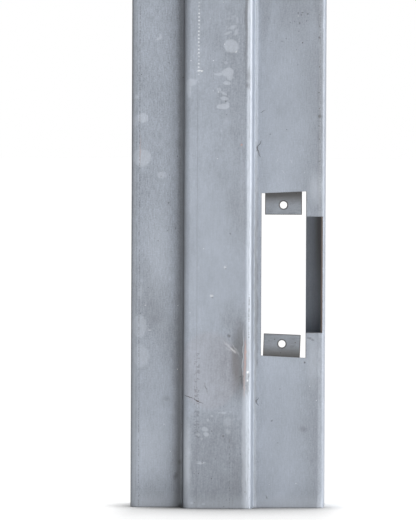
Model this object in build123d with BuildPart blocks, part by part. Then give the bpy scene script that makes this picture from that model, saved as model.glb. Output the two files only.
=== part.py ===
from build123d import *
import os
from math import cos, radians, sin, sqrt

# Pressed-steel door-frame jamb section with an ANSI strike preparation, in millimetres.
# X runs across the wall, -Y looks into the door opening, +Z is up.
# The origin is at the foot of the section, in the middle of its width and of its thickness.

# Jamb profile, all measured over the outside of the sheet
jamb_height = 457.2
jamb_depth = 146.05
face_width = 50.8
back_bend_width = 15.0
stop_projection = 15.875
wall_side_rabbet = 39.9
door_side_rabbet = 53.5
stop_wall_flare = 1.1
sheet = 1.7
bend_inner_radius = 3.3

# Strike cut-out in the door-side rabbet
strike_height = 176.2
strike_to_face = 30.7
opening_width = 33.9
opening_length = 124.0
opening_end_splay = 1.6
lip_notch_length = 87.6
lip_notch_bend_angle = 45.0

# Strike tabs, spot-welded to the back of the door-side rabbet
screw_spacing = 104.775
screw_hole_radius = 2.75
screw_hole_chamfer = 0.7
tab_gauge = 2.7
tab_recess = 2.4
tongue_width = 27.8
tongue_beyond_screw = 7.3
tongue_edge_break = 0.35
joggle_clearance = 1.0
joggle_run = 3.0
head_width = 38.0
head_length = 36.0
upper_tab_shift = -0.5
lower_tab_shift = -1.3
lower_tab_tilt = 2.2

# Spot welds that hold the tabs, two above the strike and two below
weld_spacing = 26.0
weld_to_strike_centre = 95.0
electrode_radius = 8.0
electrode_dent = 0.15

half_sheet = sheet / 2
half_depth = jamb_depth / 2
bend_outer_radius = bend_inner_radius + sheet
strike_x = half_depth - strike_to_face
opening_right = strike_x + opening_width / 2
cut_reach = 2 * sheet

# Plane of the two rabbets, seen from the door opening, and the plane of the profile
rabbet_y = (stop_projection - face_width) / 2
rabbet_plane = Plane(origin=(0, rabbet_y, 0), x_dir=(1, 0, 0), z_dir=(0, -1, 0))
profile_plane = Plane(origin=(0, rabbet_y, 0))


def tab_plane(side, shift, tilt):
    """Rabbet plane at a tab's screw hole: X across the tab, Y away from the strike, Z inwards."""
    across = (-side * cos(radians(tilt)), 0, side * sin(radians(tilt)))
    hole = (strike_x + shift, rabbet_y, strike_height + side * screw_spacing / 2)
    return Plane(origin=hole, x_dir=across, z_dir=(0, 1, 0))


tab_planes = {
    "upper_strike_tab": tab_plane(1, upper_tab_shift, 0),
    "lower_strike_tab": tab_plane(-1, lower_tab_shift, lower_tab_tilt),
}

os.makedirs("parts", exist_ok=True)

# One sheet bent ten times: back-bend, face, rabbet, stop, soffit and back again.
# The line is the middle of the sheet. The door-side wall of the stop leans outwards.
wall_slope = stop_wall_flare / stop_projection
wall_shift = half_sheet * (sqrt(1 + wall_slope**2) - wall_slope)
stop_left_x = -half_depth + wall_side_rabbet + half_sheet
stop_foot_x = half_depth - door_side_rabbet - wall_shift
face_x = half_depth - half_sheet
back_y = face_width - half_sheet
soffit_y = half_sheet - stop_projection

with BuildPart() as jamb_profile:
    with BuildSketch(profile_plane):
        with BuildLine():
            FilletPolyline(
                (back_bend_width - half_depth, back_y),
                (-face_x, back_y),
                (-face_x, half_sheet),
                (stop_left_x, half_sheet),
                (stop_left_x, soffit_y),
                (stop_foot_x - stop_wall_flare, soffit_y),
                (stop_foot_x, half_sheet),
                (face_x, half_sheet),
                (face_x, back_y),
                (half_depth - back_bend_width, back_y),
                radius=bend_inner_radius + half_sheet,
            )
        trace(line_width=sheet)
    extrude(amount=jamb_height)

    # Strike opening: its two ends spread slightly towards the face
    with BuildSketch(rabbet_plane):
        with BuildLine():
            Polyline(
                (opening_right - opening_width, strike_height - (opening_length - opening_end_splay) / 2),
                (opening_right, strike_height - (opening_length + opening_end_splay) / 2),
                (opening_right, strike_height + (opening_length + opening_end_splay) / 2),
                (opening_right - opening_width, strike_height + (opening_length - opening_end_splay) / 2),
                close=True,
            )
        make_face()
    extrude(amount=cut_reach, both=True, mode=Mode.SUBTRACT)

    # Lip notch: runs from the opening part of the way round the bend, cut square to the sheet
    bend_x = half_depth - bend_outer_radius
    notch_end_x = bend_x + 2 * bend_outer_radius * sin(radians(lip_notch_bend_angle))
    notch_end_y = bend_outer_radius - 2 * bend_outer_radius * cos(radians(lip_notch_bend_angle))
    with BuildSketch(profile_plane.offset(strike_height - lip_notch_length / 2)):
        with BuildLine():
            Polyline(
                (opening_right - sheet, -cut_reach),
                (bend_x, -cut_reach),
                (notch_end_x, notch_end_y),
                (bend_x, bend_outer_radius),
                (opening_right - sheet, bend_outer_radius),
                close=True,
            )
        make_face()
    extrude(amount=lip_notch_length, mode=Mode.SUBTRACT)

    # Round dents of the spot-weld electrode, which just catches the bend at the stop
    with BuildSketch(rabbet_plane.offset(-electrode_dent)):
        with Locations((strike_x, strike_height)):
            with GridLocations(weld_spacing, 2 * weld_to_strike_centre, 2, 2):
                Circle(electrode_radius)
    extrude(amount=cut_reach, mode=Mode.SUBTRACT)

jamb_profile.part.label = "jamb_profile"
export_step(jamb_profile.part, "parts/jamb_profile.step")

# T-shaped tabs: a wide head welded flat on the sheet, joggled back to a tongue in the opening
joggle_start = (opening_length + opening_end_splay - screw_spacing) / 2 + joggle_clearance
head_start = joggle_start + joggle_run
tongue_length = tongue_beyond_screw + joggle_start

for name, plane in tab_planes.items():
    with BuildPart() as strike_tab:
        # Tongue, with the rolled edges of a sheared plate at its front
        with BuildSketch(plane.offset(tab_recess)):
            with Locations((0, tongue_length / 2 - tongue_beyond_screw)):
                Rectangle(tongue_width, tongue_length)
        extrude(amount=tab_gauge)
        tongue_front = strike_tab.faces().sort_by(Axis.Y)[0]
        outwards = Axis(plane.origin, plane.y_dir)
        chamfer(tongue_front.edges().sort_by(outwards)[:-1], length=tongue_edge_break)

        # Joggle, drawn from the side
        with BuildSketch(Plane(origin=plane.origin, x_dir=plane.y_dir, z_dir=plane.x_dir)):
            with BuildLine():
                Polyline(
                    (joggle_start, tab_recess),
                    (head_start, sheet),
                    (head_start, sheet + tab_gauge),
                    (joggle_start, tab_recess + tab_gauge),
                    close=True,
                )
            make_face()
        extrude(amount=tongue_width / 2, both=True)

        # Head
        with BuildSketch(plane.offset(sheet)):
            with Locations((0, head_start + head_length / 2)):
                Rectangle(head_width, head_length)
        extrude(amount=tab_gauge)

        # Tapped hole for the strike screw, sunk from the front
        with Locations(Plane(plane.offset(tab_recess).origin, plane.x_dir, -plane.z_dir)):
            CounterSinkHole(screw_hole_radius, screw_hole_radius + screw_hole_chamfer)
    strike_tab.part.label = name
    export_step(strike_tab.part, f"parts/{name}.step")
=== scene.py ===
from math import cos, radians, sin

import bpy
from mathutils import Matrix, Vector


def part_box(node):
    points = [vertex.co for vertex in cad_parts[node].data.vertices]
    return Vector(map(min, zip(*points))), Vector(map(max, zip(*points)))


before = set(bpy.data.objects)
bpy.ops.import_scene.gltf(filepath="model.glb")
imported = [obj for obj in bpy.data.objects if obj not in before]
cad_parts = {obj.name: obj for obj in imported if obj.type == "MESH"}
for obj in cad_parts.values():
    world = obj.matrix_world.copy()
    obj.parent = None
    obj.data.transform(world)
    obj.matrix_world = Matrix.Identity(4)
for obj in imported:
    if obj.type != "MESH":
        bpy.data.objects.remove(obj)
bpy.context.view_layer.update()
jamb_low, jamb_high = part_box("jamb_profile")
upper_tab_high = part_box("upper_strike_tab")[1]
lower_tab_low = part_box("lower_strike_tab")[0]

MM = 0.001
STOP_PROJECTION = 15.875 * MM

# The foot of the section, midway across it, in the plane of the rabbets
centre_x = (jamb_low[0] + jamb_high[0]) / 2
rabbet_y = jamb_low[1] + STOP_PROJECTION
foot_z = jamb_low[2]

# Millimetres from the foot up to the middle of the strike
strike_z = (upper_tab_high[2] + lower_tab_low[2]) / 2 / MM - foot_z / MM


# ---------------------------------------------------------------- shader nodes

# A depth so great that it flattens what lies along it, the cosines between a sharp edge's true and rounded
# facing where the edge begins and where it is full, and the bumps' depth in millimetres
ENDLESS = 1e6
SHARP_EDGE = (0.999, 0.93)
BUMP_DEPTH = 0.012


class Weave:
    """One material under construction, with a short call for each kind of shader node.

    Places are in millimetres from the foot of the section: x to the right, y to the back and z up.
    """

    def __init__(self, name):
        self.material = bpy.data.materials.new(name)
        self.material.use_nodes = True
        self.tree = self.material.node_tree
        self.shader = self.tree.nodes["Principled BSDF"]
        here = self.add("TexCoord")["Object"]
        from_foot = self.vector("SUBTRACT", here, (centre_x, rabbet_y, foot_z))
        self.place = self.vector("MULTIPLY", from_foot, (1 / MM, 1 / MM, 1 / MM))
        split = self.add("SeparateXYZ", {0: self.place})
        self.x, self.y, self.z = split["X"], split["Y"], split["Z"]
        self.flat = self.add("CombineXYZ", {0: self.x, 1: self.z})[0]
        self.level = self.add("SeparateXYZ", {0: self.flat})
        facing = self.add("SeparateXYZ", {0: self.add("NewGeometry")["Normal"]})
        self.facing_x, self.facing_y, self.facing_z = facing["X"], facing["Y"], facing["Z"]

    def add(self, kind, inputs=None, **settings):
        """A node of one kind. Each input is a number, a tuple or another node's output."""
        node = self.tree.nodes.new("ShaderNode" + kind)
        for name, value in settings.items():
            setattr(node, name, value)
        for key, value in (inputs or {}).items():
            if isinstance(value, bpy.types.NodeSocket):
                self.tree.links.new(value, node.inputs[key])
            else:
                node.inputs[key].default_value = value
        return node.outputs

    def math(self, operation, a, b=0.0):
        return self.add("Math", {0: a, 1: b}, operation=operation)[0]

    def vector(self, operation, a, b):
        return self.add("VectorMath", {0: a, 1: b}, operation=operation)[0]

    def scaled(self, value, by):
        return self.math("MULTIPLY", value, by)

    def size_of(self, value):
        return self.math("ABSOLUTE", value)

    def total(self, first, *rest):
        for value in rest:
            first = self.math("ADD", first, value)
        return first

    def all_of(self, first, *rest):
        for mask in rest:
            first = self.math("MULTIPLY", first, mask)
        return first

    def any_of(self, first, *rest):
        for mask in rest:
            first = self.math("MAXIMUM", first, mask)
        return first

    def swing(self, noise, reach):
        """Turns noise about a half into a swing about zero, over this reach from end to end."""
        return self.scaled(self.math("SUBTRACT", noise, 0.5), reach)

    def ramp(self, value, start, end, low=0.0, high=1.0):
        """Eases from low at the start to high at the end. The start may lie above the end."""
        inputs = {"Value": value, "From Min": start, "From Max": end, "To Min": low, "To Max": high}
        return self.add("MapRange", inputs, interpolation_type="SMOOTHSTEP")[0]

    def band(self, value, low, high, edge):
        """One between low and high, easing to nothing over the edge outside them."""
        return self.all_of(self.ramp(value, low - edge, low), self.ramp(value, high + edge, high))

    def noise(self, size, stretch=(1, 1, 1), detail=2.0):
        """Soft noise with lumps of about this size in millimetres, drawn out along each axis."""
        place = self.vector("DIVIDE", self.place, stretch)
        inputs = {"Vector": place, "Scale": 1 / size, "Detail": detail, "Roughness": 0.55}
        return self.add("TexNoise", inputs)[0]

    def dots(self, cell, radius, share, seed):
        """Round dots scattered one to a cell at most, in only a share of the cells."""
        place = self.vector("ADD", self.place, (seed, seed, seed))
        cells = self.add("TexVoronoi", {"Vector": place, "Scale": 1 / cell})
        chosen = self.add("SeparateXYZ", {0: cells["Color"]})["X"]
        reach = radius / cell
        near = self.ramp(cells["Distance"], reach, reach * 0.55)
        return self.all_of(near, self.math("LESS_THAN", chosen, share))

    def blot(self, x, z, half_width, half_height, turn, softness, strength, where, so_far=0.0):
        """An ellipse on the front of the sheet, laid over the marks so far.

        Those marks ride along as the depth of its place, which its endless depth flattens away. It makes
        the renderer work the marks out one after another, as it can't hold them all at once.
        """
        inputs = {
            "Vector": self.add("CombineXYZ", {0: where["X"], 1: where["Y"], 2: so_far})[0],
            "Location": (x, z, 0),
            "Rotation": (0, 0, radians(turn)),
            "Scale": (half_width, half_height, ENDLESS),
        }
        local = self.add("Mapping", inputs, vector_type="TEXTURE")[0]
        away = self.add("VectorMath", {0: local}, operation="LENGTH")["Value"]
        mark = self.ramp(away, 1 + softness, 1 - softness, 0, strength)
        return self.math("MAXIMUM", mark, so_far)

    def blots(self, marks, where):
        most = 0.0
        for mark in marks:
            most = self.blot(*mark, where, most)
        return most

    def warped(self, size, reach):
        """Places on the front of the sheet, pushed about so that marks get uneven edges."""
        push = self.add("TexNoise", {"Vector": self.place, "Scale": 1 / size, "Detail": 2.0})["Color"]
        push = self.vector("MULTIPLY", self.vector("SUBTRACT", push, (0.5, 0.5, 0.5)), (reach, reach, 0))
        return self.add("SeparateXYZ", {0: self.vector("ADD", self.flat, push)})

    def near_edge(self, reach):
        """One at a sharp edge, falling to nothing about this many millimetres away from it."""
        rounded = self.add("Bevel", {"Radius": reach * MM})[0]
        square = self.add("NewGeometry")["Normal"]
        along = self.add("VectorMath", {0: rounded, 1: square}, operation="DOT_PRODUCT")["Value"]
        return self.ramp(along, *SHARP_EDGE)

    def mix(self, factor, under, over):
        """The colour underneath, covered by the other one where the factor is high."""
        node = self.tree.nodes.new("ShaderNodeMixRGB")
        for key, value in (("Fac", factor), ("Color1", under), ("Color2", over)):
            if isinstance(value, bpy.types.NodeSocket):
                self.tree.links.new(value, node.inputs[key])
            else:
                node.inputs[key].default_value = (*value, 1)
        return node.outputs[0]

    def toned(self, colour, tone):
        """The colour, made lighter where the tone is over one and darker where it is under."""
        return self.vector("MULTIPLY", colour, self.add("CombineXYZ", {0: tone, 1: tone, 2: tone})[0])

    def finish(self, colour, roughness, height, metallic):
        """Joins colour, roughness and the height of the bumps to the shader."""
        self.tree.links.new(colour, self.shader.inputs["Base Color"])
        self.tree.links.new(roughness, self.shader.inputs["Roughness"])
        self.shader.inputs["Metallic"].default_value = metallic
        bump = self.add("Bump", {"Height": height, "Distance": BUMP_DEPTH * MM, "Strength": 1.0})[0]
        self.tree.links.new(bump, self.shader.inputs["Normal"])
        return self.material


# ---------------------------------------------------------------- camera, floor and light

# Metres and degrees
FRAME_LONG_SIDE = 0.3921
CAMERA_DISTANCE = 5.0
CAMERA_AZIMUTH = 1.75
CAMERA_HEIGHT = 0.306
CAMERA_ROLL = 0.237
CLIP_END = 50
AIM = Vector((centre_x - 0.0149, rabbet_y, foot_z + 0.1869))

ROOM_STRENGTH = 0.01
FLOOR_HALF_SIDE = 30
FLOOR_WHITE = (0.9, 0.9, 0.9)
BLACK = (0.0, 0.0, 0.0)
SHADE_REACH = 0.24
SHADE_DEPTH = 1.6

# Between these places, in millimetres from the foot's middle, the floor's painted shade sets in
SHADE_FROM_BACK = (45, -15)
SHADE_FROM_SIDE = (100, 66)


def make_camera():
    """A long lens a little to the right of the section and above its middle, rolled slightly."""
    data = bpy.data.cameras.new("camera")
    data.lens = data.sensor_width * CAMERA_DISTANCE / FRAME_LONG_SIDE
    data.clip_end = CLIP_END
    camera = bpy.data.objects.new("camera", data)
    bpy.context.scene.collection.objects.link(camera)
    turn = radians(CAMERA_AZIMUTH)
    camera.location = (
        centre_x + CAMERA_DISTANCE * sin(turn),
        rabbet_y - CAMERA_DISTANCE * cos(turn),
        foot_z + CAMERA_HEIGHT,
    )
    look = (AIM - camera.location).to_track_quat("-Z", "Y").to_matrix().to_4x4()
    roll = Matrix.Rotation(radians(CAMERA_ROLL), 4, "Z")
    camera.matrix_world = Matrix.Translation(camera.location) @ look @ roll
    bpy.context.scene.camera = camera


def soft_light(name, azimuth, elevation, angle, strength, lit):
    """A wide soft light. Azimuth 0 is in front and 90 at the right. It shines on one collection only."""
    data = bpy.data.lights.new(name, "SUN")
    data.energy = strength
    data.angle = radians(angle)
    light = bpy.data.objects.new(name, data)
    bpy.context.scene.collection.objects.link(light)
    turn, rise = radians(azimuth), radians(elevation)
    away = Vector((sin(turn) * cos(rise), -cos(turn) * cos(rise), sin(rise)))
    light.rotation_mode = "QUATERNION"
    light.rotation_quaternion = (-away).to_track_quat("-Z", "Y")
    light.light_linking.receiver_collection = lit


def make_world():
    """A white backdrop in a nearly dark room, so that the soft lights shape the metal."""
    world = bpy.data.worlds.new("studio")
    world.use_nodes = True
    bpy.context.scene.world = world
    tree = world.node_tree
    tree.nodes.clear()
    output = tree.nodes.new("ShaderNodeOutputWorld")
    mix = tree.nodes.new("ShaderNodeMixShader")
    path = tree.nodes.new("ShaderNodeLightPath")
    tree.links.new(path.outputs["Is Camera Ray"], mix.inputs["Fac"])
    for socket, strength in ((1, ROOM_STRENGTH), (2, 1.0)):
        background = tree.nodes.new("ShaderNodeBackground")
        background.inputs["Color"].default_value = (1, 1, 1, 1)
        background.inputs["Strength"].default_value = strength
        tree.links.new(background.outputs[0], mix.inputs[socket])
    tree.links.new(mix.outputs[0], output.inputs["Surface"])


def collection_of(name, objects):
    group = bpy.data.collections.new(name)
    for item in objects:
        group.objects.link(item)
    return group


def make_floor():
    """A plain white floor that the light all but burns out, with a soft shade painted into its colour.

    The painted shade follows the ambient occlusion in front of the metal, and fades out beside and behind
    it.
    """
    mesh = bpy.data.meshes.new("floor")
    left, right = -FLOOR_HALF_SIDE, FLOOR_HALF_SIDE
    corners = [(left, left, foot_z), (right, left, foot_z), (right, right, foot_z), (left, right, foot_z)]
    mesh.from_pydata(corners, [], [(0, 1, 2, 3)])
    floor = bpy.data.objects.new("floor", mesh)
    bpy.context.scene.collection.objects.link(floor)
    paint = Weave("floor")
    # Painted shade from ambient occlusion, kept to the front of the metal
    open_sky = paint.add("AmbientOcclusion", {"Distance": SHADE_REACH})["AO"]
    shade = paint.all_of(
        paint.math("SUBTRACT", 1.0, paint.math("POWER", open_sky, SHADE_DEPTH)),
        paint.all_of(
            paint.ramp(paint.y, *SHADE_FROM_BACK), paint.ramp(paint.size_of(paint.x), *SHADE_FROM_SIDE)
        ),
    )
    paint.tree.links.new(paint.mix(shade, FLOOR_WHITE, BLACK), paint.shader.inputs["Base Color"])
    paint.shader.inputs["Roughness"].default_value = 1
    paint.shader.inputs["Specular IOR Level"].default_value = 0
    mesh.materials.append(paint.material)
    return floor


make_camera()
make_world()
on_floor = collection_of("lit_floor", [make_floor()])
on_metal = collection_of("lit_metal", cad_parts.values())
soft_light("overhead", 0, 90, 7, 3.7, on_floor)
soft_light("key", 45, 50, 30, 3.05, on_metal)
soft_light("rim", 95, 10, 34, 1.45, on_metal)
soft_light("front", 27, 10, 30, 0.60, on_metal)
soft_light("back", 160, 35, 40, 1.0, on_metal)
bpy.context.scene.view_settings.view_transform = "Standard"

# ---------------------------------------------------------------- materials

SHEET_COLOUR = (0.400, 0.438, 0.500)
SMUDGE_COLOUR = (0.215, 0.228, 0.250)
# Pale marks, and painted highlights and painted light
PALE_AND_HIGHLIGHT_COLOUR = (0.62, 0.66, 0.72)
WHITE_COLOUR = (0.86, 0.87, 0.88)
LINE_COLOUR = (0.085, 0.080, 0.078)
# Painted shade, and dirt beside the rust
GRIME_AND_SHADE_COLOUR = (0.120, 0.118, 0.116)
RUST_COLOUR = (0.54, 0.36, 0.32)
CUT_COLOUR = (0.305, 0.23, 0.18)
TAB_COLOUR = (0.265, 0.285, 0.315)
# Heat marks round the welds, and painted shadow on the tabs
SCORCH_AND_SHADOW_COLOUR = (0.10, 0.095, 0.09)

SHEET_METALLIC, SHEET_ROUGHNESS = 0.55, 0.36
TAB_METALLIC, TAB_ROUGHNESS = 0.5, 0.42

# How strongly each layer shows
SHEET_CLOUDS, SHEET_MOTTLE, SHEET_GRAIN = 0.34, 0.12, 0.5
TAB_CLOUDS, TAB_GRAIN = 0.5, 0.35
CLEAN_GRAIN, SMUDGED_GRAIN = 0.62, 1.25
SMUDGE_COVER, CUT_COVER, STRIKE_EDGE_SHADE_COVER = 0.75, 0.8, 0.45
RIM_EDGE_SHADE, SHEARED_EDGE_SHADE = 0.7, 0.85

# Marks on the metal. Each is an ellipse: x and z from the foot, half width and half height, all in
# millimetres, then its turn in degrees, the softness of its edge and its strength.

# Dried drops, wiped patches and rubbed streaks, paler than the sheet, and a painted highlight on the
# stop's left bend near the foot
PALE_BLOTS = [
    (2.7, 348.3, 5.3, 5.2, 0, 0.15, 0.38),
    (-0.2, 328.3, 4.2, 2.9, 8, 0.15, 0.41),
    (-6.0, 327.2, 4.6, 0.9, 8, 0.4, 0.37),
    (1.1, 325.3, 2.2, 2.4, 0, 0.3, 0.34),
    (-0.8, 320.5, 3.0, 1.5, 0, 0.2, 0.38),
    (-1.4, 335.4, 1.2, 1.0, 0, 0.4, 0.25),
    (-6.6, 315.2, 1.6, 1.3, 0, 0.25, 0.31),
    (-4.4, 313.6, 0.9, 0.8, 0, 0.3, 0.28),
    (-2.5, 312.5, 2.0, 1.0, -28, 0.3, 0.37),
    (-2.7, 309.0, 2.9, 1.3, 0, 0.25, 0.37),
    (-3.5, 302.7, 4.8, 2.2, 0, 0.12, 0.41),
    (-0.6, 304.7, 1.6, 1.4, 0, 0.3, 0.31),
    (-1.2, 291.4, 1.6, 2.4, -10, 0.7, 0.19),
    (-4.8, 284.6, 0.9, 1.0, 0, 0.6, 0.22),
    (3.4, 362.4, 3.2, 1.2, 18, 0.45, 0.36),
    (0.0, 357.8, 2.6, 0.9, 24, 0.4, 0.34),
    (5.6, 358.6, 1.2, 2.4, -12, 0.4, 0.36),
    (6.4, 367.5, 0.9, 2.4, 0, 0.5, 0.25),
    (4.4, 370.5, 1.6, 1.0, 0, 0.6, 0.19),
    (0.6, 368.8, 2.6, 0.8, 10, 0.6, 0.15),
    (-27.4, 320.6, 3.6, 2.6, 0, 0.3, 0.34),
    (-28.8, 315.4, 1.6, 6.4, 4, 0.3, 0.34),
    (-24.8, 322.2, 2.4, 0.8, 26, 0.4, 0.28),
    (-10.8, 70.1, 0.9, 0.7, 0, 0.4, 0.34),
    (-5.8, 72.4, 0.9, 0.6, 0, 0.4, 0.28),
    (-2.4, 72.2, 1.9, 0.9, 0, 0.4, 0.38),
    (3.0, 72.6, 1.4, 0.6, 0, 0.5, 0.18),
    (-13.6, 67.0, 1.1, 0.9, 0, 0.4, 0.34),
    (-16.4, 60.2, 2.4, 1.8, -18, 0.3, 0.40),
    (-15.2, 56.0, 2.3, 1.5, -22, 0.3, 0.46),
    (-21.4, 55.4, 1.6, 1.2, 0, 0.5, 0.28),
    (-18.4, 52.8, 1.0, 0.8, 0, 0.5, 0.25),
    (1.2, 65.2, 3.2, 3.2, 0, 0.6, 0.24),
    (1.6, 58.2, 1.9, 1.8, 0, 0.6, 0.24),
    (-18.6, 34.6, 3.2, 0.9, 4, 0.3, 0.50),
    (-20.6, 35.8, 1.6, 0.5, 0, 0.5, 0.22),
    (-26.6, 4.2, 1.2, 0.8, 0, 0.4, 0.50),
    (-17.0, 3.4, 1.4, 0.9, 0, 0.4, 0.42),
    (-20.6, 2.0, 1.0, 1.2, 0, 0.5, 0.25),
    (-0.8, 29.6, 1.0, 0.5, 0, 0.5, 0.19),
    (-64.6, 293.9, 4.0, 3.7, 0, 0.14, 0.37),
    (-70.6, 291.4, 2.6, 3.2, 0, 0.3, 0.25),
    (-65.2, 264.0, 6.8, 6.5, 0, 0.14, 0.37),
    (-50.0, 251.0, 3.3, 2.3, 0, 0.2, 0.36),
    (-69.4, 309.7, 1.3, 1.8, 0, 0.4, 0.45),
    (-53.2, 353.6, 2.4, 0.9, 24, 0.4, 0.48),
    (-51.4, 355.0, 0.9, 1.7, 0, 0.4, 0.42),
    (-65.6, 162.5, 1.8, 5.4, 0, 0.4, 0.20),
    (-64.6, 171.4, 1.3, 1.1, 0, 0.5, 0.19),
    (-66.6, 136.4, 5.4, 8.6, 0, 0.12, 0.26),
    (-65.4, 114.6, 5.8, 8.8, 4, 0.16, 0.21),
    (-48.6, 138.0, 4.2, 5.6, 0, 0.6, 0.10),
    (-22.2, 181.2, 1.3, 1.2, 0, 0.7, 0.14),
    (-24.2, 160, 0.5, 30, 0, 0.7, 0.06),
    (65.6, 241.5, 4.2, 9.5, 0, 0.8, 0.34),
    (64.6, 113, 3.6, 19, 0, 0.7, 0.24),
    (62.4, 126.4, 3.2, 2.4, 0, 0.5, 0.19),
    (10.6, 232, 1.6, 26, 0, 0.9, 0.10),
    (13.6, 45, 1.7, 80, 0, 0.6, 0.45),
    (12.1, 114, 0.4, 20, 0, 0.5, 0.50),
    (-52.0, 190, 9.0, 32, 0, 0.9, 0.16),
    # Painted highlight on the stop's left bend near the foot
    (-30.6, 36, 3.0, 26, 0, 0.8, 0.70),
    (-56.0, 44, 13.0, 22, 0, 0.9, 0.14),
]

# Bare or chalk-white spots, and polished spots and scuff lines painted white as glints
WHITE_BLOTS = [
    (-1.5, 182.1, 0.9, 0.9, 0, 0.6, 0.42),
    (-11.6, 160.4, 1.0, 1.0, 0, 0.6, 0.48),
    (-20.9, 329.4, 2.2, 0.45, 0, 0.4, 0.75),
    # Scuff lines painted white as glints
    (0.8, 123.2, 0.7, 3.4, 48, 0.8, 0.24),
    (4.4, 119.9, 0.7, 3.0, 48, 0.8, 0.52),
    (6.2, 121.2, 0.4, 3.8, 38, 0.8, 0.20),
    (1.6, 120.0, 0.35, 2.6, 54, 0.8, 0.16),
    (7.6, 118.2, 0.35, 3.2, 36, 0.8, 0.16),
    (15.8, 103.0, 0.7, 0.9, 0, 0.5, 0.80),
    (15.7, 96.6, 0.6, 0.8, 0, 0.5, 0.65),
    (6.2, 343.9, 1.0, 0.5, 25, 0.5, 0.40),
    (-6.9, 313.6, 0.4, 0.4, 0, 0.4, 0.6),
    (37.0, 262.4, 0.25, 1.6, -32, 0.5, 0.18),
    (47.4, 261.4, 0.25, 1.4, 32, 0.5, 0.26),
    (41.4, 254.0, 0.25, 1.4, 30, 0.5, 0.28),
    (-62.0, 152.6, 0.5, 0.5, 0, 0.5, 0.5),
    (-58.8, 133.6, 0.6, 0.6, 0, 0.5, 0.4),
    (-57.0, 129.0, 0.4, 0.4, 0, 0.5, 0.4),
]

# Scratches, pits, dark drips, painted shadow under two pips, and painted shade along the rims of the
# weld's pinch dents at the foot of the stop
DARK_BLOTS = [
    (1.6, 130.4, 1.4, 1.1, 0, 0.6, 0.50),
    # Painted shadow under two pips on the soffit
    (-0.9, 180.9, 0.9, 0.4, 0, 0.5, 0.4),
    (-11.0, 159.1, 1.0, 0.4, 0, 0.5, 0.4),
    (-28.4, 84.3, 0.38, 3.3, 67, 0.5, 0.85),
    (-21.4, 81.2, 0.40, 3.3, 65, 0.5, 0.95),
    (-15.4, 90.8, 0.26, 4.2, 18, 0.5, 0.50),
    (10.5, 99.6, 0.7, 0.7, 0, 0.5, 0.5),
    (15.6, 325.6, 1.4, 4.4, 0, 0.8, 0.42),
    (15.2, 318.8, 1.3, 2.6, 0, 0.8, 0.42),
    (26.0, 299.0, 0.30, 1.8, -60, 0.5, 0.70),
    (25.4, 79.0, 0.25, 2.2, -6, 0.5, 0.3),
    (31.7, 282.0, 0.5, 0.5, 0, 0.5, 0.5),
    (69.0, 295.7, 1.0, 1.4, 0, 0.6, 0.6),
    (58.4, 110.1, 0.6, 0.6, 0, 0.5, 0.75),
    (39.5, 90.0, 0.6, 0.5, 0, 0.6, 0.4),
    (33.5, 66.0, 0.8, 0.5, 0, 0.6, 0.5),
    (38.4, 49.4, 0.5, 0.4, 0, 0.5, 0.55),
    (57.5, 59.6, 2.6, 1.6, 0, 0.9, 0.24),
    (30.0, 8.4, 0.5, 1.4, 14, 0.6, 0.45),
    (61.8, 128.2, 2.0, 0.6, -8, 0.6, 0.45),
    (64.4, 127.2, 1.0, 0.8, 0, 0.6, 0.4),
    (-50.6, 250.0, 0.45, 0.45, 0, 0.5, 0.4),
    (-44.9, 335.9, 0.5, 0.5, 0, 0.5, 0.7),
    (-34.2, 324.4, 0.6, 0.6, 0, 0.5, 0.75),
    (-44.6, 229.8, 0.5, 0.5, 0, 0.5, 0.6),
    (-46.0, 82.0, 2.4, 2.0, 0, 0.9, 0.22),
    (-38.6, 24.0, 1.4, 2.6, -20, 0.7, 0.4),
    (-35.6, 34.0, 1.2, 1.6, 0, 0.8, 0.4),
    (15.6, 92.0, 1.0, 5.0, 0, 0.7, 0.36),
    (11.8, 97.0, 0.8, 7.0, 0, 0.8, 0.45),
    (16.6, 100.0, 0.6, 1.4, 0, 0.5, 0.5),
    (-2.4, 77.0, 0.4, 0.4, 0, 0.5, 0.4),
    (-2.4, 55.0, 0.6, 0.6, 0, 0.5, 0.45),
    (0.2, 7.0, 0.5, 0.5, 0, 0.5, 0.45),
    # Painted shade along the rims of the weld's pinch dents at the foot of the stop
    (23.4, 274.5, 0.34, 3.1, -35, 0.4, 0.75),
    (22.9, 268.3, 0.34, 3.8, 18, 0.4, 0.75),
    (22.0, 271.4, 0.42, 2.2, -6, 0.4, 0.75),
    (22.6, 82.0, 0.30, 1.9, -38, 0.5, 0.70),
    (22.7, 79.0, 0.30, 2.0, 30, 0.5, 0.70),
    (21.8, 80.5, 0.36, 1.3, -4, 0.5, 0.70),
    (-44.1, 250.5, 0.5, 0.5, 0, 0.5, 0.55),
    (-56.4, 281.9, 0.4, 0.4, 0, 0.5, 0.45),
    (-38.3, 264.9, 0.5, 0.5, 0, 0.5, 0.55),
    (-39.6, 210.7, 0.5, 0.5, 0, 0.5, 0.50),
    (-45.5, 208.6, 0.5, 0.4, 0, 0.5, 0.50),
    (-33.5, 216.7, 0.5, 0.5, 0, 0.5, 0.60),
    (2.5, 207.0, 0.5, 0.5, 0, 0.5, 0.40),
    (52.4, 373.6, 0.5, 0.5, 0, 0.5, 0.55),
    (55.7, 373.6, 0.6, 0.5, 0, 0.5, 0.60),
    (59.5, 372.6, 0.7, 0.7, 0, 0.5, 0.65),
    (54.7, 371.9, 0.6, 0.5, 0, 0.5, 0.55),
    (49.7, 366.8, 0.4, 0.4, 0, 0.5, 0.50),
    (53.7, 365.5, 0.5, 1.0, 0, 0.5, 0.50),
    (58.6, 367.6, 0.5, 0.5, 0, 0.5, 0.50),
    (68.7, 355.1, 0.9, 0.9, 0, 0.6, 0.60),
    (32.1, 351.7, 0.4, 0.4, 0, 0.5, 0.40),
    (40.3, 352.0, 0.8, 0.5, 0, 0.6, 0.30),
]

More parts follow.
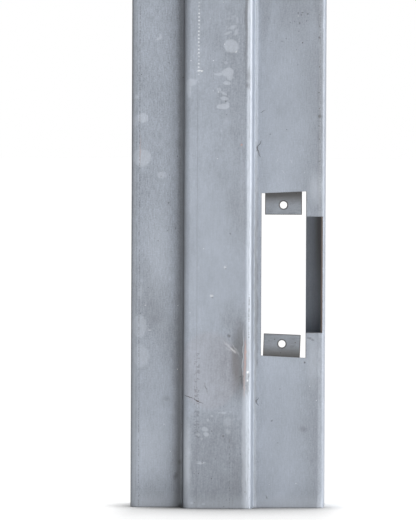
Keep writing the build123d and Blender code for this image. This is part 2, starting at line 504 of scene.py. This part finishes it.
# Wide soft areas where the skin is dirtier or darker
SMUDGES = [
    (-6.0, 30.0, 28.0, 46.0, 0, 0.30, 0.58),
    (9.0, 18.0, 11.0, 30.0, 0, 0.8, 0.88),
    (8.0, 140.0, 9.0, 14.0, 24, 0.9, 0.56),
    (-8.0, 128.0, 22.0, 7.0, 8, 0.9, 0.16),
    (9.0, 330.0, 14.0, 90.0, 0, 0.9, 0.40),
    (2.0, 262.0, 16.0, 46.0, 0, 0.9, 0.24),
    (8.0, 226.0, 9.0, 26.0, 0, 0.9, 0.52),
    (4.0, 106.0, 14.0, 32.0, 0, 0.9, 0.44),
    (-2.0, 12.0, 22.0, 26.0, 0, 0.8, 0.72),
    (-62.0, 178.0, 6.0, 14.0, 12, 0.8, 0.40),
    (-57.0, 150.0, 12.0, 23.0, 14, 0.8, 0.68),
    (-48.0, 132.0, 11.0, 24.0, 18, 0.9, 0.48),
    (-60.0, 140.0, 8.0, 14.0, 0, 0.7, 0.44),
    (-60.0, 108.0, 9.0, 24.0, 0, 0.9, 0.24),
    (-57.0, 10.0, 13.0, 15.0, 0, 0.9, 0.44),
    (-41.0, 20.0, 5.0, 24.0, 0, 0.9, 0.24),
    (-66.0, 300.0, 7.0, 90.0, 0, 0.9, 0.16),
    (-62.0, 262.0, 12.0, 50.0, 0, 0.9, 0.18),
    (-10.0, 352.0, 22.0, 52.0, 0, 0.9, 0.16),
    (76.0, 220.0, 17.0, 900.0, 0, 0.9, 0.62),
    (56.0, 390.0, 20.0, 46.0, 0, 0.9, 0.56),
    (68.0, 382.0, 6.0, 34.0, 0, 0.9, 0.72),
    (26.5, 374.0, 4.5, 30.0, 0, 0.8, 0.56),
    (65.0, 20.0, 7.0, 14.0, 0, 0.9, 0.22),
    (22.0, 10.0, 4.0, 16.0, 0, 0.9, 0.24),
    (25.0, 180.0, 4.0, 110.0, 0, 0.9, 0.30),
]

# Painted shade in the inside corners beside the stop and at the outer bends, and black dirt on the stop's
# rusted side
GRIME_AND_SHADE = [
    (-34.0, 228.6, 3.1, 900.0, 0, 0.85, 0.52),
    (-35.0, 30.0, 4.4, 150.0, 0, 0.9, 0.60),
    (21.4, 160.0, 1.3, 104.0, 0, 0.6, 0.55),
    (21.6, 60.0, 1.0, 80.0, 0, 0.8, 0.30),
    (10.2, 112.0, 6.8, 25.0, 0, 0.5, 0.62),
    (12.0, 104.0, 2.6, 18.0, 0, 0.8, 0.40),
    (69.6, 300.0, 1.6, 190.0, 0, 0.7, 0.30),
    (14.2, 388.0, 1.5, 56.0, 0, 0.7, 0.50),
    (-70.4, 60.0, 2.4, 100.0, 0, 0.9, 0.16),
]

# A rust streak beside the stop's edge, two specks and a faint warm stain
RUST_BLOTS = [
    (13.9, 114.0, 0.75, 12.5, 0, 0.5, 0.62),
    (13.4, 97.0, 0.8, 11.0, 0, 0.7, 0.36),
    (10.5, 273.7, 0.8, 0.7, 0, 0.5, 0.8),
    (-66.4, 270.0, 0.4, 8.0, 0, 0.8, 0.35),
    (-13.0, 104.0, 23.0, 29.0, 0, 0.08, 0.06),
]

# Patches where the dark pits lie thicker
PITTED = [
    (57, 360, 13, 26, 0, 0.6, 1.0),
    (57, 77, 5, 4, 0, 0.4, 1.0),
    (69, 320, 3, 60, 0, 0.8, 0.8),
    (-4, 30, 24, 40, 0, 0.5, 0.6),
]

# Heat marks round the four spot welds of the tabs
WELD_MARKS = [(x, z, 6.0, 6.0, 0, 0.45, 0.7) for z in (81.2, 271.2) for x in (29.3, 55.3)]

# Straight marks left by the bending dies: x, lowest z, highest z, half width, strength, dotted or not
DIE_LINES = [
    (-66.9, 0, 460, 0.38, 0.46, True),
    (-66.3, 0, 460, 0.25, 0.20, False),
    (-22.6, 0, 320, 0.35, 0.20, False),
    (-21.4, 0, 75, 0.25, 0.14, False),
    (16.7, 128, 160, 0.42, 0.75, True),
    (2.4, 0, 52, 0.35, 0.40, True),
    (5.0, 0, 48, 0.35, 0.26, True),
    (-33.2, 0, 460, 0.5, 0.20, True),
    (19.0, 0, 460, 0.3, 0.16, True),
    (69.4, 180, 460, 0.5, 0.34, True),
]


# Regions of the sheet in millimetres from the foot, each bounded by two heights, two places across or
# two depths. The last one runs from the front of the sheet through to its back.
STAMP_ACROSS, STAMP_UP = (-24.2, -20.6), (54, 117)
CHALK_UP = (326, 400)
NOTCH_UP = (131, 220)
OPENING_ACROSS = (22, 64)
STRIKE_ACROSS, STRIKE_UP = (22, 74), (108, 244)
THROUGH_SHEET = (0.02, 1.68)

# Both rows repeat at twice these lengths
STAMP_HALF_PITCH = 3.1
CHALK_HALF_PITCH = 1.35
CHALK_X = -21.9

# The painted shade in the left corner begins at the stop's wall, along a line that leans this much to the
# right for each millimetre up
CORNER_SHADE_LEAN = 0.0045
CORNER_SHADE_EDGE = (-30.9, -33.7)

# Where the marks on the front set in: by the way the skin faces, and by depth round the outer bends
FACING_FRONT = (-0.35, -0.8)
OUTER_BEND = (6.0, 3.0)

# Distances from the strike's middle between which painted shadow darkens the tabs by the joggle, from the
# inner side and from the outer one
JOGGLE_INNER, JOGGLE_OUTER = (51, 61), (72, 64)


def die_lines(steel, across):
    """Straight lines that the bending dies left, some of them broken into dots."""
    broken = steel.ramp(steel.noise(1.3, stretch=(30, 30, 1), detail=1), 0.42, 0.58)
    lines = 0.0
    for x, low, high, half_width, strength, dotted in DIE_LINES:
        from_line = steel.size_of(steel.math("SUBTRACT", across, x))
        line = steel.all_of(
            steel.ramp(from_line, half_width, half_width * 0.3, 0, strength),
            steel.band(steel.z, low, high, 4.0),
        )
        lines = steel.any_of(steel.all_of(line, broken) if dotted else line, lines)
    return lines


def stamped_row(steel):
    """A row of stamped marks on the soffit, too worn to make out."""
    return steel.all_of(
        steel.band(steel.x, *STAMP_ACROSS, 0.5),
        steel.band(steel.z, *STAMP_UP, 1.5),
        steel.ramp(steel.noise(1.5, stretch=(1.1, 1, 0.8), detail=1), 0.50, 0.58),
        steel.ramp(steel.math("PINGPONG", steel.z, STAMP_HALF_PITCH), 0.4, 0.9, 0, 0.34),
    )


def chalk_marks(steel, across, mottle):
    """A row of chalk-white dots, with more of them scattered round it and a few all over."""
    up = steel.math("PINGPONG", steel.z, CHALK_HALF_PITCH)
    aside = steel.math("SUBTRACT", across, CHALK_X)
    away = steel.math("POWER", steel.total(steel.scaled(up, up), steel.scaled(aside, aside)), 0.5)
    row = steel.all_of(
        steel.ramp(away, 0.85, 0.40),
        steel.band(steel.z, *CHALK_UP, 12),
        steel.ramp(steel.noise(4.0, detail=2), 0.38, 0.64, 0.10, 0.72),
    )
    round_the_row = steel.all_of(
        steel.dots(2.4, 0.42, 0.20, 11),
        steel.blot(-10, 352, 20, 46, 0, 0.7, 1.0, steel.level),
        steel.ramp(mottle, 0.45, 0.7, 0.2, 0.9),
    )
    return steel.any_of(row, round_the_row, steel.dots(5.0, 0.38, 0.10, 23))


def dark_pits(steel):
    """Dark pits all over, and thicker in a few places."""
    pitted = steel.any_of(*[steel.blot(*patch, steel.level) for patch in PITTED])
    thick = steel.all_of(steel.dots(3.2, 0.62, 0.24, 31), pitted)
    return steel.any_of(thick, steel.dots(6.5, 0.42, 0.16, 47))


def cut_edges(steel):
    """The sawn ends and the cut edges of the notch and the opening, where bare metal shows."""
    sawn = steel.ramp(steel.size_of(steel.facing_z), 0.6, 0.9)
    notch = steel.all_of(
        steel.band(steel.z, *NOTCH_UP, 1), steel.ramp(steel.facing_x, -0.4, -0.6),
        steel.ramp(steel.facing_y, -0.3, -0.5), steel.ramp(steel.x, 60, 62),
    )
    opening = steel.all_of(
        steel.ramp(steel.size_of(steel.facing_x), 0.8, 0.95),
        steel.band(steel.x, *OPENING_ACROSS, 1), steel.band(steel.y, *THROUGH_SHEET, 0.01),
    )
    return steel.any_of(sawn, notch, opening)


def corner_shade_and_grime(steel, where):
    """Painted shade and dirt in the corners beside the stop, and a dark lip of painted shade where the
    left outer bend turns away.
    """
    leaning = steel.math("SUBTRACT", steel.x, steel.scaled(steel.z, CORNER_SHADE_LEAN))
    off_the_soffit = steel.any_of(steel.ramp(leaning, *CORNER_SHADE_EDGE), steel.ramp(steel.x, 0, 5))
    lip = steel.all_of(steel.ramp(steel.facing_x, -0.76, -0.93), steel.ramp(steel.y, 6.5, 5.0, 0, 0.85))
    return steel.any_of(steel.all_of(steel.blots(GRIME_AND_SHADE, where), off_the_soffit), lip)


def return_shade(steel):
    """Painted shade inside the returns, darker towards their corners and higher up."""
    return steel.all_of(
        steel.ramp(steel.facing_y, -0.5, -0.8), steel.ramp(steel.y, 30, 40),
        steel.ramp(steel.size_of(steel.x), 60, 71.5, 0.3, 0.85),
        steel.ramp(steel.z, 150, 215, 1.0, 1.45),
    )


def bend_highlights(steel, brushed):
    """Painted highlights on the stop's right bends, and a fainter one on the left outer bend."""
    right = steel.all_of(
        steel.band(steel.facing_x, 0.30, 0.93, 0.12), steel.ramp(steel.facing_y, 0.0, -0.2),
        steel.ramp(steel.y, 1, -3, 0.0, 0.50), steel.ramp(brushed, 0.25, 0.6, 0.5, 1.0),
    )
    left = steel.all_of(
        steel.band(steel.facing_x, -0.62, -0.36, 0.14), steel.ramp(steel.y, 6, 4, 0, 0.34),
        steel.ramp(steel.x, -60, -64),
    )
    return steel.any_of(right, left)


def grain_strength(steel, smudge):
    """How strong the grain is: more on smudges and in the left rabbet, less on the clean soffit."""
    calm = steel.blot(-5, 195, 24, 62, 0, 0.5, 0.26, steel.level)
    left_rabbet = steel.all_of(
        steel.ramp(steel.x, -38, -32, 0.85, 0.0), steel.ramp(steel.z, 60, 240, 0.3, 1.0)
    )
    dirt = steel.math("SUBTRACT", steel.total(CLEAN_GRAIN, steel.scaled(smudge, SMUDGED_GRAIN)), calm)
    return steel.total(dirt, left_rabbet)


def make_jamb_sheet():
    """Galvannealed sheet: dull blue-grey, brushed along its length, smudged, spotted and scratched."""
    steel = Weave("galvannealed_sheet")
    brushed = steel.noise(0.9, stretch=(1, 1, 7), detail=3)
    speckle = steel.noise(1.1, detail=2)
    grit = steel.noise(0.55, detail=1)
    cloud = steel.noise(26, stretch=(1, 1, 1.6), detail=3)
    mottle = steel.noise(6, stretch=(1, 1, 1.4), detail=3)
    across = steel.total(steel.x, steel.swing(steel.noise(60, stretch=(9, 9, 1)), 1.2))
    ragged, gentle, streaky = steel.warped(2.6, 2.4), steel.warped(9.0, 3.2), steel.warped(22.0, 14.0)

    # Marks on the front, and painted shade and dirt that also go round the bends
    front = steel.all_of(steel.ramp(steel.facing_y, *FACING_FRONT), steel.ramp(steel.y, *OUTER_BEND))
    outside = steel.all_of(steel.ramp(steel.facing_y, 0.3, 0.0), steel.ramp(steel.y, *OUTER_BEND))
    pale = steel.all_of(steel.blots(PALE_BLOTS, gentle), front)
    white = steel.all_of(steel.blots(WHITE_BLOTS, ragged), front)
    dark = steel.all_of(steel.blots(DARK_BLOTS, ragged), front)
    smudge = steel.all_of(steel.blots(SMUDGES, streaky), front)
    rust = steel.all_of(steel.blots(RUST_BLOTS, ragged), front)
    # Painted shade in the corners beside the stop and at the outer bends, with dirt on the stop's rusted
    # side
    grime_and_shade = steel.all_of(corner_shade_and_grime(steel, gentle), outside)
    lines = steel.all_of(die_lines(steel, across), front)
    stamp = steel.all_of(stamped_row(steel), front)
    chalk = steel.all_of(chalk_marks(steel, across, mottle), front)
    pits = steel.all_of(dark_pits(steel), front)

    # Painted light makes the foot paler, down to a line of painted contact shadow at the cut, and a line
    # of painted edge shade runs round the strike
    cut = cut_edges(steel)
    foot = steel.all_of(steel.ramp(steel.z, 14, 0, 0, 0.40), front)
    foot_contact_shadow = steel.all_of(steel.ramp(steel.z, 1.1, 0.3, 0, 0.45), front)
    # Painted edge shade along the strike's cut edges
    strike_edge_shade = steel.all_of(
        steel.near_edge(0.9), front,
        steel.band(steel.x, *STRIKE_ACROSS, 2), steel.band(steel.z, *STRIKE_UP, 2),
    )

    # Colour, from the skin up to what lies on it
    grain = steel.total(steel.swing(brushed, SHEET_GRAIN), steel.swing(speckle, SHEET_GRAIN))
    tone = steel.total(
        1.0, steel.swing(cloud, SHEET_CLOUDS), steel.swing(mottle, SHEET_MOTTLE),
        steel.scaled(grain, grain_strength(steel, smudge)),
    )
    colour = steel.toned(SHEET_COLOUR, tone)
    for cover, paint in (
        (steel.scaled(smudge, SMUDGE_COVER), SMUDGE_COLOUR),
        # Painted shade in the corners, at the outer bends and inside the returns, with dirt beside the
        # rust
        (steel.any_of(grime_and_shade, return_shade(steel)), GRIME_AND_SHADE_COLOUR),
        (pale, PALE_AND_HIGHLIGHT_COLOUR),
        # Painted highlights on the bends, and painted light at the foot
        (steel.any_of(bend_highlights(steel, brushed), foot), PALE_AND_HIGHLIGHT_COLOUR),
        (steel.any_of(lines, stamp, pits), LINE_COLOUR),
        # Dark marks, with painted shadow and shade among them, painted contact shadow at the foot and
        # painted edge shade round the strike
        (steel.any_of(dark, foot_contact_shadow, steel.scaled(strike_edge_shade, STRIKE_EDGE_SHADE_COVER)), LINE_COLOUR),
        (rust, RUST_COLOUR),
        (steel.any_of(white, chalk), WHITE_COLOUR),
        (steel.scaled(cut, CUT_COVER), CUT_COLOUR),
    ):
        colour = steel.mix(cover, colour, paint)

    roughness = steel.total(
        SHEET_ROUGHNESS, steel.scaled(cloud, 0.16), steel.scaled(grain, 0.16),
        steel.scaled(steel.any_of(pale, chalk, cut), 0.25),
    )
    skin = steel.total(steel.scaled(brushed, 0.5), steel.scaled(grit, 0.4))
    height = steel.math("SUBTRACT", skin, pits)
    return steel.finish(colour, roughness, height, SHEET_METALLIC)


def make_tab_steel():
    """Plain hot-rolled plate, duller than the sheet, with painted shade at its sheared edges and by its
    joggle, and dark heat marks round its welds.
    """
    steel = Weave("tab_plate")
    cloud = steel.noise(9, detail=3)
    speckle = steel.noise(0.9, detail=2)
    streak = steel.noise(1.1, stretch=(6, 1, 1), detail=2)
    grain = steel.math("SUBTRACT", steel.total(speckle, streak), 1.0)

    # Painted shadow of the opening's edge on the tongue by the joggle, and burnt brown round the welds
    from_middle = steel.size_of(steel.math("SUBTRACT", steel.z, strike_z))
    joggle = steel.all_of(
        steel.ramp(from_middle, *JOGGLE_INNER, 0, 0.8), steel.ramp(from_middle, *JOGGLE_OUTER)
    )
    scorch_and_shadow = steel.any_of(joggle, steel.blots(WELD_MARKS, steel.warped(9.0, 3.2)))
    # Painted shade on the tabs' sharp edges and sheared sides
    sheared = steel.ramp(steel.size_of(steel.facing_y), 0.94, 0.80)
    rim = steel.any_of(
        steel.scaled(steel.near_edge(1.1), RIM_EDGE_SHADE), steel.scaled(sheared, SHEARED_EDGE_SHADE)
    )

    tone = steel.total(1.0, steel.swing(cloud, TAB_CLOUDS), steel.scaled(grain, TAB_GRAIN))
    # Painted shadow by the joggle, and heat marks round the welds
    colour = steel.mix(scorch_and_shadow, steel.toned(TAB_COLOUR, tone), SCORCH_AND_SHADOW_COLOUR)
    colour = steel.mix(steel.dots(4.0, 0.5, 0.3, 5), colour, LINE_COLOUR)
    # Painted edge shade
    colour = steel.mix(rim, colour, LINE_COLOUR)
    roughness = steel.total(TAB_ROUGHNESS, steel.scaled(cloud, 0.2))
    height = steel.total(speckle, steel.scaled(streak, 0.5))
    return steel.finish(colour, roughness, height, TAB_METALLIC)


jamb_sheet = make_jamb_sheet()
tab_steel = make_tab_steel()
for name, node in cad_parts.items():
    node.data.materials[0] = jamb_sheet if name == "jamb_profile" else tab_steel
